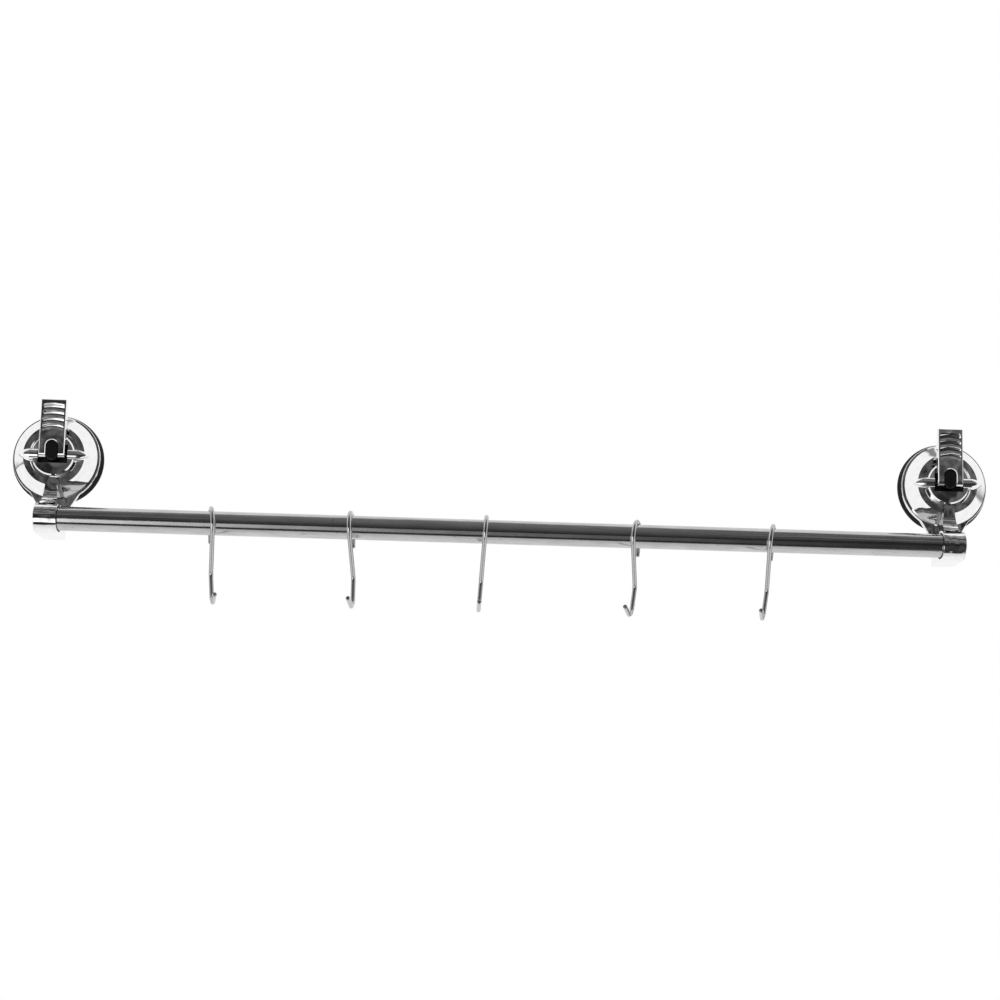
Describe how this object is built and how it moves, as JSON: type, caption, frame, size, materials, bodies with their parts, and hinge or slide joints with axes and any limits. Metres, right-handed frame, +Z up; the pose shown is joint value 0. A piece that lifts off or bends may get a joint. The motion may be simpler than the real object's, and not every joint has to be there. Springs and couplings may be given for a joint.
{
  "type": "suction-mounted hook rail",
  "caption": "Round steel rail held to a smooth wall by lever-locked suction cups, with open wire hooks that slide along it to hang clothes or utensils.",
  "frame": {"origin": "middle of the rod's axis, halfway between the two suction cups", "axes": "+X along the rod to the viewer's right, +Y into the wall, +Z up; the wall plane is at y = +22 mm"},
  "size_m": [0.663, 0.0365, 0.135],
  "materials": {
    "brushed_steel": "fine lengthwise polish with small scratches",
    "chrome_casting": "bright chrome plate on a casting",
    "chrome_cap": "bright chrome plate",
    "chrome_lever": "bright chrome plate",
    "chrome_wire": "bright plated wire",
    "steel_pin": "polished pin",
    "black_rubber": "smooth matt black rubber",
    "black_plastic": "satin black moulding"
  },
  "bodies": {
    "rail": {"rod": "brushed_steel", "left_suction_cup": "black_rubber", "left_bracket": "chrome_casting", "left_rod_sleeve": "black_plastic", "left_cap": "chrome_cap", "left_cam_pad": "black_plastic", "right_suction_cup": "black_rubber", "right_bracket": "chrome_casting", "right_rod_sleeve": "black_plastic", "right_cap": "chrome_cap", "right_cam_pad": "black_plastic"},
    "left_stud": {"left_stud": "black_plastic", "left_axle_pin": "steel_pin"},
    "left_lever": {"left_lever": "chrome_lever"},
    "right_stud": {"right_stud": "black_plastic", "right_axle_pin": "steel_pin"},
    "right_lever": {"right_lever": "chrome_lever"},
    "hook_1": {"hook_1": "chrome_wire"},
    "hook_2": {"hook_2": "chrome_wire"},
    "hook_3": {"hook_3": "chrome_wire"},
    "hook_4": {"hook_4": "chrome_wire"},
    "hook_5": {"hook_5": "chrome_wire"}
  },
  "joints": [
    {"name": "left_stud_slide", "type": "slide", "parent": "rail", "child": "left_stud", "axis": [0, 1, 0], "range_m": [0, 0.0016]},
    {"name": "left_lever_flip", "type": "hinge", "parent": "left_stud", "child": "left_lever", "pos_m": [-0.301, 0.0027, 0.0445], "axis": [1, 0, 0], "range_deg": [0, 100]},
    {"name": "right_stud_slide", "type": "slide", "parent": "rail", "child": "right_stud", "axis": [0, 1, 0], "range_m": [0, 0.0016]},
    {"name": "right_lever_flip", "type": "hinge", "parent": "right_stud", "child": "right_lever", "pos_m": [0.301, 0.0027, 0.0445], "axis": [1, 0, 0], "range_deg": [0, 100]},
    {"name": "hook_1_slide", "type": "slide", "parent": "rail", "child": "hook_1", "axis": [1, 0, 0], "range_m": [-0.0892, 0.0351]},
    {"name": "hook_2_slide", "type": "slide", "parent": "rail", "child": "hook_2", "axis": [1, 0, 0], "range_m": [-0.0351, 0.0335]},
    {"name": "hook_3_slide", "type": "slide", "parent": "rail", "child": "hook_3", "axis": [1, 0, 0], "range_m": [-0.0335, 0.0394]},
    {"name": "hook_4_slide", "type": "slide", "parent": "rail", "child": "hook_4", "axis": [1, 0, 0], "range_m": [-0.0394, 0.0345]},
    {"name": "hook_5_slide", "type": "slide", "parent": "rail", "child": "hook_5", "axis": [1, 0, 0], "range_m": [-0.0344, 0.1029]}
  ],
  "couplings": [
    {"joint": "left_lever_flip", "follows": "left_stud_slide", "rad_per_m": 1090.8},
    {"joint": "right_lever_flip", "follows": "right_stud_slide", "rad_per_m": 1090.8}
  ]
}
